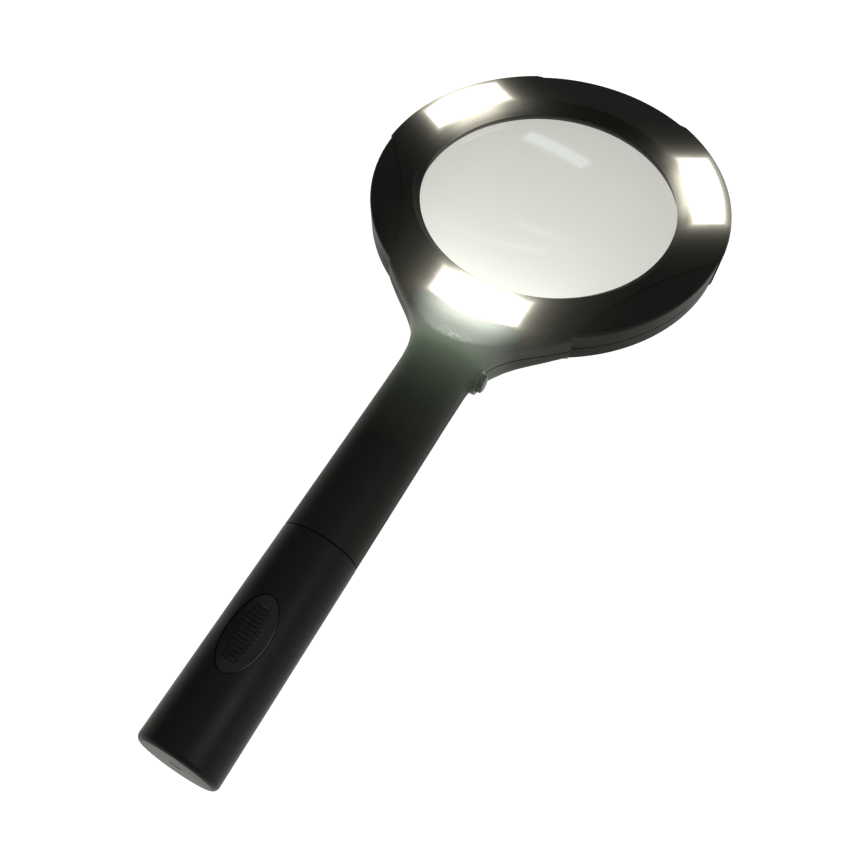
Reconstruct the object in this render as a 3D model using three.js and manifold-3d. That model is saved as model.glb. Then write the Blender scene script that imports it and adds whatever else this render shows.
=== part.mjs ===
// A round, lighted low vision magnifier with a long battery handle.
//
// The model is built in the magnifier's own frame, in millimetres: the lens
// axis is Z with the lighted face up, the handle axis is Y with the lens
// towards +Y, and Z = 0 is the plane where the two shells meet. The whole
// group is then set down so that its origin is the middle of its base.

import * as THREE from 'three';
import { mergeVertices } from 'three/addons/utils/BufferGeometryUtils.js';
import Module from 'manifold-3d';

const wasm = await Module();
wasm.setup();

// ---------------------------------------------------------------- dimensions

const GAP = 0.3;                  // between pieces that touch
const WALL = 1.6;                 // moulded wall thickness

// Ring around the lens
const RING_R = 62.4;              // outer radius at the three lamp sections
const PLAIN_R = 62.0;             // outer radius between the lamps
const FACE_Z = 6.7;               // lighted face
const BACK_Z = -5.3;              // back face
const PLAIN_STEP = 0.4;           // the crescents lie this far below the face
const PLAIN_ANGLES = [90, 210, 330];
const PLAIN_HALF_ANGLE = 28.5;
const CRESCENT_R = 112;           // radius of the line that bounds a crescent
const CRESCENT_INNER = 50.8;      // that line's nearest point to the lens axis
const EDGE = 1.0;                 // edge bevel of the ring
const CHANNEL_IN = 48.8;          // hollow channel inside the ring
const CHANNEL_OUT = 60.8;
const CHANNEL_TOP = 5.1;
const CHANNEL_FLOOR = -3.6;

// Lens
const LENS_R = 46.5;
const LENS_MID = 0.6;             // height of the lens's middle plane
const LENS_EDGE = 2.0;            // edge thickness
const LENS_CURVE = 280;           // radius of both faces, about 3.5 dioptres
const VIEW_R = 45.0;              // clear opening of the front lip
const LIP_TOP = 4.15;
const DISH_R = 47.4;              // where the bevel around the lens meets the face

// Neck and handle, as cross-sections: position, half width, depth below the seam,
// and how square the section is above and below the seam (2 is round)
const NECK = [
  [-50, 35.9, 5.3, 5.0, 6.0],
  [-54, 32.6, 5.3, 5.0, 6.0],
  [-58, 28.2, 6.4, 4.5, 5.5],
  [-61, 24.4, 7.4, 4.1, 5.1],
  [-64, 20.8, 8.5, 3.7, 4.8],
  [-67, 17.7, 9.5, 3.2, 4.5],
  [-70, 15.3, 10.5, 2.7, 4.2],
  [-73, 13.7, 11.1, 2.5, 3.3],
  [-76, 12.6, 11.5, 2.3, 2.4],
  [-79, 12.0, 11.5, 2.1, 2.2],
  [-83, 11.65, 11.5, 2.0, 2.0],
  [-95, 11.5, 11.5, 2.0, 2.0],
];
const NECK_TOP = 11.5;            // height above the seam
const GRIP_END = [11.6, -147.15]; // half width and position of the shells' end
const SLEEVE_R = 11.62;           // sleeve's mouth
const SLEEVE_END_R = 11.75;
const SLEEVE_TOP = GRIP_END[1] - GAP;
const SLEEVE_RIM = -209.07;       // where the sleeve's end begins to round off
const SLEEVE_CORNER = 1.6;
const SLEEVE_RAKE = 0.13;         // slope of the sleeve's end face: its top stands back
const SLEEVE_TIP = -212.0;
const DISH_FOOT = 68;             // the face runs on to this radius, then climbs the neck
const DISH_SLOPE = 36;

// Lamps
const LAMP_ANGLES = { neck: 270, left: 150, right: 30 };
const LAMP = { inner: 49.9, outer: 59.8, halfInner: 15.1, halfOuter: 15.65, corner: 1.8 };
const WINDOW_TOP = FACE_Z + 0.3;
const WINDOW_FLANGE = 0.5;         // how far a window's flange runs out under the face

// Push button on the right of the neck
const BUTTON_Y = -78;
const BUTTON_R = 2.95;
const COLLAR_R = 4.2;
const COLLAR_FACE = 13.4;
const BUTTON_FACE = 15.3;
const BOARD_TOP = -4.4;           // driver board that carries the switch

// Batteries (two AA cells in line) and their tube
const CELL_R = 7.25;
const CELL_LENGTH = 50.5;
const TUBE_R = 9.6;
const TUBE_BORE = 7.6;
const TUBE_FRONT = -97.3;
const TUBE_REAR = -196;
const SLEEVE_BORE = 9.9;
const SLEEVE_FLOOR = -208.2;

// Thumb grip
const GRIP_Y = -177.6;
const GRIP_HALF = [6.0, 10.8];
const GRIP_RIBS = 15;
const GRIP_PITCH = 1.16;

const SEGMENTS = 48;              // around the ring
const ROUND = 28;                 // around the handle
const SMALL = 12;                 // around small pins

// ----------------------------------------------------------------- materials

const FINISH = {
  black: { color: 0x17181a, roughness: 0.55, metalness: 0.0 },
  lens: { color: 0xe6ecea, roughness: 0.03, metalness: 0.0 },
  diffuser: { color: 0xfffbf2, roughness: 0.4, metalness: 0.0 },
  board: { color: 0xe9e9e4, roughness: 0.5, metalness: 0.0 },
  phosphor: { color: 0xf0d24a, roughness: 0.6, metalness: 0.0 },
  green: { color: 0x1f5b3a, roughness: 0.5, metalness: 0.0 },
  steel: { color: 0xb8bbbd, roughness: 0.35, metalness: 1.0 },
  brass: { color: 0xc9a24e, roughness: 0.35, metalness: 1.0 },
  cell: { color: 0x8f979c, roughness: 0.35, metalness: 0.8 },
  red: { color: 0xb02a22, roughness: 0.5, metalness: 0.0 },
  wireBlack: { color: 0x1b1b1b, roughness: 0.5, metalness: 0.0 },
  rubber: { color: 0x202224, roughness: 0.75, metalness: 0.0 },
};

// -------------------------------------------------------------- solid helpers

// Turns a closed geometry into a solid, with its faces pointing out.
function solid(geometry) {
  const bare = geometry.clone();
  bare.deleteAttribute('normal');
  bare.deleteAttribute('uv');
  const merged = mergeVertices(bare, 1e-4);
  const position = merged.attributes.position;
  const index = merged.index.array;
  const corner = (i) => new THREE.Vector3().fromBufferAttribute(position, i);
  const triangles = [];
  let volume = 0;
  for (let i = 0; i < index.length; i += 3) {
    const [a, b, c] = [index[i], index[i + 1], index[i + 2]];
    if (a !== b && b !== c && c !== a) {
      triangles.push([a, b, c]);
      volume += corner(a).dot(corner(b).cross(corner(c)));
    }
  }
  const outward = volume > 0 ? triangles : triangles.map(([a, b, c]) => [a, c, b]);
  return new wasm.Manifold(new wasm.Mesh({
    numProp: 3,
    vertProperties: new Float32Array(position.array),
    triVerts: new Uint32Array(outward.flat()),
  }));
}

function geometryOf(manifold) {
  const { vertProperties, triVerts } = manifold.getMesh();
  const geometry = new THREE.BufferGeometry();
  geometry.setAttribute('position', new THREE.BufferAttribute(vertProperties, 3));
  geometry.setIndex(new THREE.BufferAttribute(triVerts, 1));
  geometry.computeVertexNormals();
  return geometry;
}

const radians = (degrees) => THREE.MathUtils.degToRad(degrees);

const profileOf = (points) => points.map(([r, h]) => new THREE.Vector2(r, h));

// Solids of revolution. Each point is [radius, height along the axis].
function latheY(points, segments = ROUND) {
  return solid(new THREE.LatheGeometry(profileOf(points), segments));
}

function latheZ(points, segments = SEGMENTS) {
  return solid(new THREE.LatheGeometry(profileOf(points), segments).rotateX(Math.PI / 2));
}

function latheX(points, segments = SMALL) {
  return solid(new THREE.LatheGeometry(profileOf(points), segments).rotateZ(-Math.PI / 2));
}

function post(x, y, radius, low, high, segments = SMALL) {
  const geometry = new THREE.CylinderGeometry(radius, radius, high - low, segments);
  geometry.rotateX(Math.PI / 2);
  geometry.translate(x, y, (low + high) / 2);
  return solid(geometry);
}

function box([x0, x1], [y0, y1], [z0, z1]) {
  const geometry = new THREE.BoxGeometry(x1 - x0, y1 - y0, z1 - z0);
  geometry.translate((x0 + x1) / 2, (y0 + y1) / 2, (z0 + z1) / 2);
  return solid(geometry);
}

function slab(shape, low, high, curveSegments = 3) {
  const geometry = new THREE.ExtrudeGeometry(shape, {
    depth: high - low, bevelEnabled: false, curveSegments,
  });
  geometry.translate(0, 0, low);
  return solid(geometry);
}

function turned(manifold, degrees) {
  return manifold.rotate([0, 0, degrees]);
}

function tube(points, radius, steps, sides = 6) {
  const route = new THREE.CatmullRomCurve3(points.map((p) => new THREE.Vector3(...p)));
  const section = new THREE.Shape();
  for (let i = 0; i < sides; i += 1) {
    const angle = (2 * Math.PI * i) / sides;
    const [x, y] = [radius * Math.cos(angle), radius * Math.sin(angle)];
    if (i === 0) section.moveTo(x, y);
    else section.lineTo(x, y);
  }
  return new THREE.ExtrudeGeometry(section, { steps, extrudePath: route, bevelEnabled: false });
}

// ------------------------------------------------------------- shared outlines

// The neck and handle as a loft of its cross-sections, each shrunk by inset.
function handle(inset, end) {
  const sections = [...NECK, [end, GRIP_END[0], NECK_TOP, 2, 2]];
  const points = [];
  const faces = [];
  const middle = (row) => row * (ROUND + 1) + ROUND;
  sections.forEach(([y, width, depth, above, below], row) => {
    for (let i = 0; i < ROUND; i += 1) {
      const angle = (2 * Math.PI * i) / ROUND;
      const [c, s] = [Math.cos(angle), Math.sin(angle)];
      const [power, height] = s > 0 ? [above, NECK_TOP] : [below, depth];
      const x = Math.sign(c) * Math.abs(c) ** (2 / power) * (width - inset);
      const z = Math.sign(s) * Math.abs(s) ** (2 / power) * (height - inset);
      points.push(x, y, z);
      const next = (i + 1) % ROUND;
      const here = row * (ROUND + 1);
      const after = here + ROUND + 1;
      if (row + 1 < sections.length) {
        faces.push(here + i, here + next, after + next, here + i, after + next, after + i);
      }
      if (row === 0) faces.push(middle(row), here + next, here + i);
      if (row + 1 === sections.length) faces.push(middle(row), here + i, here + next);
    }
    points.push(0, y, 0);
  });
  const geometry = new THREE.BufferGeometry();
  geometry.setAttribute('position', new THREE.Float32BufferAttribute(points, 3));
  geometry.setIndex(faces);
  return solid(geometry);
}

// The flat face of the ring runs on over the neck and then climbs it as a cone.
function dish(foot, height) {
  const run = 9;
  const rise = run * Math.tan(radians(DISH_SLOPE));
  return latheZ([
    [0, height], [foot, height], [foot + run, height + rise], [foot + run, 20], [0, 20],
  ]);
}

// A lamp's outline: an arc band with nearly parallel ends and rounded corners.
function lampShape(grow) {
  const inner = LAMP.inner - grow;
  const outer = LAMP.outer + grow;
  const corner = LAMP.corner + grow / 2;
  const a = LAMP.halfInner + grow;
  const b = LAMP.halfOuter + grow;
  const at = (radius, half) => Math.asin(half / radius);
  const shape = new THREE.Shape();
  const x = (radius, angle) => radius * Math.cos(angle);
  const y = (radius, angle) => radius * Math.sin(angle);
  const near = at(inner, a);
  const far = at(outer, b);
  const nearCut = at(inner, a - corner);
  const farCut = at(outer, b - corner);
  const slant = corner / (x(outer, far) - x(inner, near));
  const side = (t) => [
    THREE.MathUtils.lerp(x(inner, near), x(outer, far), t),
    THREE.MathUtils.lerp(a, b, t),
  ];
  const [nearX, nearY] = side(slant);
  const [farX, farY] = side(1 - slant);
  shape.moveTo(x(inner, nearCut), -y(inner, nearCut));
  shape.absarc(0, 0, inner, -nearCut, nearCut, false);
  shape.quadraticCurveTo(x(inner, near), y(inner, near), nearX, nearY);
  shape.lineTo(farX, farY);
  shape.quadraticCurveTo(x(outer, far), y(outer, far), x(outer, farCut), y(outer, farCut));
  shape.absarc(0, 0, outer, farCut, -farCut, true);
  shape.quadraticCurveTo(x(outer, far), -y(outer, far), farX, -farY);
  shape.lineTo(nearX, -nearY);
  shape.quadraticCurveTo(x(inner, near), -y(inner, near), x(inner, nearCut), -y(inner, nearCut));
  return shape;
}

// The flat crescent that lies slightly low on each plain section.
function crescentShape() {
  const reach = PLAIN_R + 4;
  const middle = CRESCENT_INNER + CRESCENT_R;
  const half = Math.asin(30 / CRESCENT_R);
  const shape = new THREE.Shape();
  shape.moveTo(middle - CRESCENT_R * Math.cos(half), -30);
  shape.absarc(middle, 0, CRESCENT_R, Math.PI + half, Math.PI - half, true);
  shape.lineTo(reach, 30);
  shape.lineTo(reach, -30);
  return shape;
}

function sectorShape(inner, outer, halfAngle) {
  const half = radians(halfAngle);
  const shape = new THREE.Shape();
  shape.absarc(0, 0, inner, -half, half, false);
  shape.absarc(0, 0, outer, half, -half, true);
  return shape;
}

// --------------------------------------------------------------- screw places

const RING_SCREW_R = 54.6;
const SCREWS = [
  ...PLAIN_ANGLES.map((angle) => ({
    x: RING_SCREW_R * Math.cos(radians(angle)),
    y: RING_SCREW_R * Math.sin(radians(angle)),
    seat: -3.3,
  })),
  { x: -9.0, y: -70.5, seat: -8.0 },
  { x: 0, y: -92.5, seat: -9.0 },
];
const SCREW = { head: 2.2, headHeight: 1.3, shank: 1.1, tip: 4.2, hole: 1.4, boss: 2.9, sink: 2.6 };

// --------------------------------------------------------------------- shells

function outerBody() {
  const ring = latheZ([
    [0, BACK_Z], [RING_R - EDGE, BACK_Z], [RING_R, BACK_Z + EDGE],
    [RING_R, FACE_Z - EDGE], [RING_R - EDGE, FACE_Z], [0, FACE_Z],
  ]);
  let body = ring.add(handle(0, GRIP_END[1]).subtract(dish(DISH_FOOT, FACE_Z)));
  const rim = slab(sectorShape(PLAIN_R, PLAIN_R + 4, PLAIN_HALF_ANGLE), -8, 10, 6);
  const crescent = slab(crescentShape(), FACE_Z - PLAIN_STEP, FACE_Z + 2, 6);
  for (const angle of PLAIN_ANGLES) {
    body = body.subtract(turned(rim, angle)).subtract(turned(crescent, angle));
  }
  return body;
}

function hollow() {
  const channel = latheZ([
    [CHANNEL_IN, CHANNEL_FLOOR], [CHANNEL_OUT, CHANNEL_FLOOR],
    [CHANNEL_OUT, CHANNEL_TOP], [CHANNEL_IN, CHANNEL_TOP], [CHANNEL_IN, CHANNEL_FLOOR],
  ]);
  const bore = handle(WALL, GRIP_END[1] - 2)
    .intersect(box([-40, 40], [-160, -56], [-SLEEVE_BORE, SLEEVE_BORE]))
    .subtract(dish(DISH_FOOT + 0.9, CHANNEL_TOP));
  return channel.add(bore);
}

function bosses(body) {
  let posts = latheX([[0, 8.6], [5.8, 8.6], [5.8, 12], [0, 12]], 20)
    .translate([0, BUTTON_Y, 0]);
  for (const { x, y } of SCREWS) {
    posts = posts.add(post(x, y, SCREW.boss, -12, 12));
  }
  return posts.intersect(body);
}

function buttonCut() {
  const hole = COLLAR_R + GAP;
  return latheX([[0, 8], [hole, 8], [hole, 20], [0, 20]], 20).translate([0, BUTTON_Y, 0]);
}

const BODY = outerBody();
const CASING = BODY.subtract(hollow()).add(bosses(BODY)).subtract(buttonCut());

function frontShell() {
  let shell = CASING.intersect(box([-70, 70], [-160, 70], [GAP / 2, 20]));
  shell = shell.subtract(latheZ([
    [0, -1], [LENS_R + GAP, -1], [LENS_R + GAP, 2.15], [VIEW_R, 2.15],
    [VIEW_R - 0.2, LIP_TOP], [DISH_R, FACE_Z], [DISH_R, FACE_Z + 2], [0, FACE_Z + 2],
  ]));
  const aperture = slab(lampShape(GAP), CHANNEL_TOP - 2, FACE_Z + 2);
  for (const angle of Object.values(LAMP_ANGLES)) {
    shell = shell.subtract(turned(aperture, angle));
  }
  for (const { x, y } of SCREWS) {
    shell = shell.subtract(post(x, y, SCREW.hole, -1, SCREW.tip + GAP));
  }
  return shell;
}

function rearShell() {
  let shell = CASING.intersect(box([-70, 70], [-160, 70], [-20, -GAP / 2]));
  shell = shell.subtract(latheZ([
    [0, 1], [LENS_R + 2 * GAP, 1], [LENS_R + 2 * GAP, -2.3], [VIEW_R + 0.6, -2.3],
    [VIEW_R + 0.6, -2.9], [DISH_R + 0.2, BACK_Z], [DISH_R + 0.2, BACK_Z - 2], [0, BACK_Z - 2],
  ]));
  for (const { x, y, seat } of SCREWS) {
    shell = shell.subtract(post(x, y, SCREW.hole, -12, 1));
    shell = shell.subtract(post(x, y, SCREW.sink, -14, seat));
  }
  return shell;
}

function screw({ x, y, seat }) {
  const top = seat - GAP / 2;
  return latheZ([
    [0, top - SCREW.headHeight], [SCREW.head - 0.3, top - SCREW.headHeight],
    [SCREW.head, top - SCREW.headHeight + 0.4], [SCREW.head, top], [SCREW.shank, top],
    [SCREW.shank, SCREW.tip - 0.8], [0, SCREW.tip],
  ], 12).translate([x, y, 0]);
}

// ----------------------------------------------------------------------- lens

function lens() {
  const rings = 3;
  const profile = [];
  const sag = (r) => (LENS_R * LENS_R - r * r) / (2 * LENS_CURVE);
  for (let i = 0; i <= rings; i += 1) {
    const r = (LENS_R * i) / rings;
    profile.push([r, LENS_MID - LENS_EDGE / 2 - sag(r)]);
  }
  for (let i = rings; i >= 0; i -= 1) {
    const r = (LENS_R * i) / rings;
    profile.push([r, LENS_MID + LENS_EDGE / 2 + sag(r)]);
  }
  return latheZ(profile, 40);
}

function lensRetainer() {
  return latheZ([
    [45.6, -2.0], [LENS_R + GAP, -2.0], [LENS_R + GAP, -0.9], [45.6, -0.9], [45.6, -2.0],
  ], 40);
}

// ---------------------------------------------------------------------- lamps

function lampWindow() {
  const flangeTop = CHANNEL_TOP - GAP;
  const pane = slab(lampShape(0), flangeTop - 0.6, WINDOW_TOP);
  const flange = slab(lampShape(WINDOW_FLANGE), flangeTop - 1.2, flangeTop);
  return pane.add(flange);
}

const lampBoard = () => slab(lampShape(-0.4), 0.6, 1.8);
const lampEmitter = () => slab(lampShape(-2.0), 2.1, 2.7);

// --------------------------------------------------------------------- switch

function driverBoard() {
  return box([-5, 8], [-87, -72], [BOARD_TOP - 1.0, BOARD_TOP]);
}

function switchBody() {
  return box([-4, 3], [BUTTON_Y - 4, BUTTON_Y + 4], [BOARD_TOP + GAP, 3.3])
    .subtract(latheX([[0, -1.5], [1.4, -1.5], [1.4, 4], [0, 4]]).translate([0, BUTTON_Y, 0]));
}

function buttonCollar() {
  const bore = BUTTON_R + GAP;
  return latheX([
    [bore, 8.9], [COLLAR_R, 8.9], [COLLAR_R, COLLAR_FACE - 0.3],
    [COLLAR_R - 0.25, COLLAR_FACE], [bore, COLLAR_FACE], [bore, 8.9],
  ], 20).translate([0, BUTTON_Y, 0]);
}

function pushButton() {
  return latheX([
    [0, 1.5], [1.1, 1.5], [1.1, 7.6], [COLLAR_R - 0.1, 7.6], [COLLAR_R - 0.1, 8.6],
    [BUTTON_R, 8.6], [BUTTON_R, BUTTON_FACE - 0.5], [BUTTON_R - 0.5, BUTTON_FACE],
    [0, BUTTON_FACE],
  ], 20).translate([0, BUTTON_Y, 0]);
}

// A compression spring between two heights along its axis, as a helix tube.
function springPoints(turns, radiusAt, low, high) {
  const perTurn = 8;
  const count = turns * perTurn;
  return Array.from({ length: count + 1 }, (_, i) => {
    const t = i / count;
    const angle = 2 * Math.PI * turns * t;
    const radius = radiusAt(t);
    return [radius * Math.cos(angle), radius * Math.sin(angle), low + (high - low) * t];
  });
}

function buttonSpring() {
  const wire = 0.25;
  const points = springPoints(4, () => 2.1, 3.0 + GAP + wire, 7.6 - GAP - wire);
  return tube(points.map(([a, b, h]) => [h, BUTTON_Y + a, b]), wire, 32, 5);
}

// ------------------------------------------------------------------ batteries

function batteryTube() {
  const groove = box([-2.5, 2.5], [-200, -99.6], [-12, -8.6]);
  return latheY([
    [0, TUBE_FRONT], [TUBE_R, TUBE_FRONT], [TUBE_R, TUBE_REAR], [TUBE_BORE, TUBE_REAR],
    [TUBE_BORE, TUBE_FRONT - WALL], [0, TUBE_FRONT - WALL],
  ]).subtract(groove).subtract(
    latheY([[0, -90], [1.3, -90], [1.3, -102], [0, -102]], SMALL),
  );
}

function battery(tip) {
  const shoulder = tip - 1.0;
  const end = tip - CELL_LENGTH;
  return latheY([
    [0, tip], [2.75, tip], [2.75, shoulder], [CELL_R - 0.5, shoulder], [CELL_R, shoulder - 0.5],
    [CELL_R, end + 0.5], [CELL_R - 0.5, end], [0, end],
  ], 20);
}

function positiveContact() {
  const inside = TUBE_FRONT - WALL - GAP;
  return latheY([
    [0, TUBE_FRONT + 0.8], [1.0, TUBE_FRONT + 0.8], [1.0, inside], [5.5, inside],
    [5.5, inside - 0.5], [0, inside - 0.5],
  ], SMALL);
}

function returnStrip() {
  return box([-2.0, 2.0], [TUBE_REAR - 2, -99.9], [-9.4, -8.9]);
}

function sleeveContact() {
  const plate = latheY([
    [0, SLEEVE_FLOOR + 0.8], [9.2, SLEEVE_FLOOR + 0.8], [9.2, SLEEVE_FLOOR + GAP],
    [0, SLEEVE_FLOOR + GAP],
  ], 24);
  return plate.add(box([-2, 2], [SLEEVE_FLOOR + GAP, TUBE_REAR - 2.3], [-9.4, -8.9]));
}

function negativeSpring() {
  const wire = 0.4;
  const low = SLEEVE_FLOOR + 0.8 + GAP + wire;
  const high = -201.4 - 0.1 - GAP - wire;
  const points = springPoints(4, (t) => 5.6 - 2.2 * t, low, high);
  return tube(points.map(([a, b, h]) => [a, h, b]), wire, 32, 5);
}

function batterySleeve() {
  const corner = (degrees) => [
    SLEEVE_END_R - SLEEVE_CORNER * (1 - Math.cos(radians(degrees))),
    SLEEVE_RIM - SLEEVE_CORNER * Math.sin(radians(degrees)),
  ];
  let sleeve = latheY([
    [SLEEVE_BORE, SLEEVE_TOP], [SLEEVE_R - 0.15, SLEEVE_TOP], [SLEEVE_R, SLEEVE_TOP - 0.15],
    corner(0), corner(30), corner(60), corner(85),
    [0, SLEEVE_RIM - SLEEVE_CORNER - 0.1],
    [0, SLEEVE_FLOOR], [SLEEVE_BORE, SLEEVE_FLOOR], [SLEEVE_BORE, SLEEVE_TOP],
  ], 36);
  const pocket = ovalBlock(GRIP_HALF[0] + GAP, GRIP_HALF[1] + GAP)
    .subtract(latheY([[0, -160], [10.5, -160], [10.5, -195], [0, -195]], 36));
  sleeve = sleeve.warp((point) => {
    if (point[1] < SLEEVE_RIM + 0.01) point[1] += SLEEVE_RAKE * point[2];
  }).subtract(pocket);
  return sleeve.subtract(box([-2, 2], [-215, -205], [-0.6, 0.6]));
}

function ovalBlock(halfX, halfY) {
  const shape = new THREE.Shape();
  shape.absellipse(0, GRIP_Y, halfX, halfY, 0, 2 * Math.PI, false, 0);
  return slab(shape, 5, 16, 9);
}

function thumbGrip() {
  const band = (inner, outer) => latheY([
    [inner, -162], [outer, -162], [outer, -193], [inner, -193], [inner, -162],
  ], 36);
  let grip = ovalBlock(...GRIP_HALF).intersect(band(10.8, 11.35));
  const ribs = ovalBlock(...GRIP_HALF).intersect(band(11.0, 11.7));
  for (let i = 0; i < GRIP_RIBS; i += 1) {
    const y = GRIP_Y + (i - (GRIP_RIBS - 1) / 2) * GRIP_PITCH;
    grip = grip.add(ribs.intersect(box([-3.0, 3.0], [y - 0.3, y + 0.3], [5, 15])));
  }
  return grip;
}

// ---------------------------------------------------------------------- wires

const WIRE_R = 0.6;
const WIRE_Z = -2.5;
const WIRE_TRACK = 59.2;

const WIRE_END = BOARD_TOP + GAP + WIRE_R;

const polar = (radius, degrees, z) => [
  radius * Math.cos(radians(degrees)), radius * Math.sin(radians(degrees)), z,
];

// From under a side lamp's board, round the channel, to the driver board.
function lampWire(from, to, end) {
  const points = [polar(56, from, 0.1), polar(56.6, from, -1.6)];
  const steps = 8;
  for (let i = 1; i <= steps; i += 1) {
    points.push(polar(WIRE_TRACK, from + ((to - from) * i) / steps, WIRE_Z));
  }
  points.push(end);
  return tube(points, WIRE_R, 26);
}

// --------------------------------------------------------------------- meshes

const magnifier = new THREE.Group();

function place(name, shape, finish, group = magnifier) {
  const geometry = shape.isBufferGeometry ? shape : geometryOf(shape);
  const material = new THREE.MeshStandardMaterial(FINISH[finish]);
  const mesh = new THREE.Mesh(geometry, material);
  mesh.name = name;
  group.add(mesh);
}

place('front_shell', frontShell(), 'black');
place('rear_shell', rearShell(), 'black');
place('lens', lens(), 'lens');
place('lens_retainer', lensRetainer(), 'black');

for (const [side, angle] of Object.entries(LAMP_ANGLES)) {
  const lamp = new THREE.Group();
  lamp.rotation.z = radians(angle);
  magnifier.add(lamp);
  place(`led_window_${side}`, lampWindow(), 'diffuser', lamp);
  place(`led_board_${side}`, lampBoard(), 'board', lamp);
  place(`led_emitter_${side}`, lampEmitter(), 'phosphor', lamp);
}

SCREWS.forEach((spot, i) => place(`shell_screw_${i + 1}`, screw(spot), 'steel'));

place('driver_board', driverBoard(), 'green');
place('switch_body', switchBody(), 'black');
place('button_collar', buttonCollar(), 'black');
place('push_button', pushButton(), 'black');
place('button_spring', buttonSpring(), 'steel');

place('battery_tube', batteryTube(), 'black');
place('battery_front', battery(-100.1), 'cell');
place('battery_rear', battery(-150.9), 'cell');
place('positive_contact', positiveContact(), 'brass');
place('return_strip', returnStrip(), 'brass');
place('sleeve_contact', sleeveContact(), 'brass');
place('negative_spring', negativeSpring(), 'steel');
place('battery_sleeve', batterySleeve(), 'black');
place('thumb_grip', thumbGrip(), 'rubber');

place('wire_left_lamp', lampWire(160, 262, [-3, -73, WIRE_END]), 'red');
place('wire_right_lamp', lampWire(20, -82, [6, -73, WIRE_END]), 'wireBlack');
place('wire_neck_lamp', tube([
  [1.5, -56, 0.1], [1.5, -58, -1.4], [1.5, -66, -2.3], [1.5, -73, WIRE_END],
], WIRE_R, 8), 'red');
place('wire_battery_positive', tube([
  [2.6, -96.6, 1.5], [5.2, -94.6, 0.6], [5.6, -90, -1.4], [4.5, -84.5, WIRE_END],
], WIRE_R, 8), 'red');
place('wire_battery_negative', tube([
  [-2.6, -96.6, -4.0], [-5.2, -94.6, -3.6], [-5.6, -90, -3.0], [-3.2, -84.5, WIRE_END],
], WIRE_R, 8), 'wireBlack');

const overallFront = PLAIN_R;
magnifier.position.set(0, -(SLEEVE_TIP + overallFront) / 2, SLEEVE_END_R);

export default magnifier;
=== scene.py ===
"""Looks for a round lighted low vision magnifier with a battery handle.

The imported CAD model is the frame. Sizes below are millimetres measured from the
lens axis and from the plane where the two shells meet: +Y is the lens end, +Z the
lighted face. placed() turns them into the frame's metres.
"""

import math

import bmesh
import bpy
import numpy as np
from mathutils import Euler, Matrix, Vector


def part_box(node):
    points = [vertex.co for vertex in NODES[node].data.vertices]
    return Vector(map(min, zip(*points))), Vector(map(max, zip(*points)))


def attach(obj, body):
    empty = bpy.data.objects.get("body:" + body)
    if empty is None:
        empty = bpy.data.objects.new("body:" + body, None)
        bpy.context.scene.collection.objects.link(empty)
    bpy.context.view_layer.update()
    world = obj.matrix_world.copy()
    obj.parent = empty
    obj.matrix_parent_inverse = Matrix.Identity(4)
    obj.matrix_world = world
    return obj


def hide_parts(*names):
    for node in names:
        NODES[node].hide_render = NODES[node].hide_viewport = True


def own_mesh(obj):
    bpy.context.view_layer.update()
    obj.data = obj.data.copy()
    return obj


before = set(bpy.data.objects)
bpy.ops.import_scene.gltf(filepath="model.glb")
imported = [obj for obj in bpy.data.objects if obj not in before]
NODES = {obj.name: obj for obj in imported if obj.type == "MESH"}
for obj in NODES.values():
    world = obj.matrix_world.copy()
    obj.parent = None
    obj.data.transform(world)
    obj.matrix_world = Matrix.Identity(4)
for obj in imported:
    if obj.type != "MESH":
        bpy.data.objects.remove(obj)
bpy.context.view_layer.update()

LENS_LOW, LENS_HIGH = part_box("lens")
LENS_MID_HEIGHT = 0.6  # of the lens above the parting plane
ORIGIN = (LENS_LOW + LENS_HIGH) / 2 - Vector((0, 0, LENS_MID_HEIGHT / 1000))
TO_FRAME = Matrix.Translation(ORIGIN) @ Matrix.Scale(0.001, 4)

# ------------------------------------------------------------------ dimensions

# The ring, and the plain sections between its lamps: a little smaller in radius, and a
# little lower inside a crescent
RING_R, FACE_Z, BACK_Z, RIM_ROUND = 62.4, 6.7, -5.3, 0.9
PLAIN_R, PLAIN_STEP = 62.0, 0.4
PLAIN_ANGLES, PLAIN_HALF_ANGLE = (90, 210, 330), 28.5
CRESCENT_R, CRESCENT_INNER, CRESCENT_HALF = 112.0, 50.8, 31
SEAM = 0.2  # half the gap between the shells

# The hollow for the lamp boards inside the ring, and the bore for the battery tube
CHANNEL_IN, CHANNEL_OUT, CHANNEL_FLOOR, CHANNEL_ROOF = 48.8, 60.6, -3.6, 5.1
BORE_R = 9.9

# The lens: its radius, its edge's thickness, and the radius of curvature of its faces.
# The face has a lip over the lens's edge, at the foot of a shallow dish
LENS_R, LENS_EDGE, LENS_CURVE = 46.5, 2.0, 280.0
LIP_TOP, LIP_UNDER, VIEW_R, DISH_R = 4.15, 2.15, 45.0, 47.4
LENS_INDEX = 1.49
RETAINER_R, RETAINER_Z = (45.6, 46.8), (-2.0, -0.9)

# The neck and handle: (position, half width), and the sections' other measures
NECK_WIDTHS = [
    (-46, 39.5), (-50, 35.94), (-54, 32.65), (-58, 28.18), (-61, 24.42), (-64, 20.78), (-67, 17.68),
    (-70, 15.35), (-73, 13.7), (-76, 12.6), (-79, 11.95), (-83, 11.65), (-95, 11.5), (-165, 11.63),
]  # fmt: skip
NECK_BACKS = [(-46, 5.3), (-54, 5.3), (-57, 6.1), (-70, 10.5), (-75, 11.45), (-165, 11.5)]
NECK_TOP, HANDLE_END = 11.5, -147.15
NECK_FROM, NECK_TO = -49.0, -150.0  # the stretch that neck_field() shapes, cut off later
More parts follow.
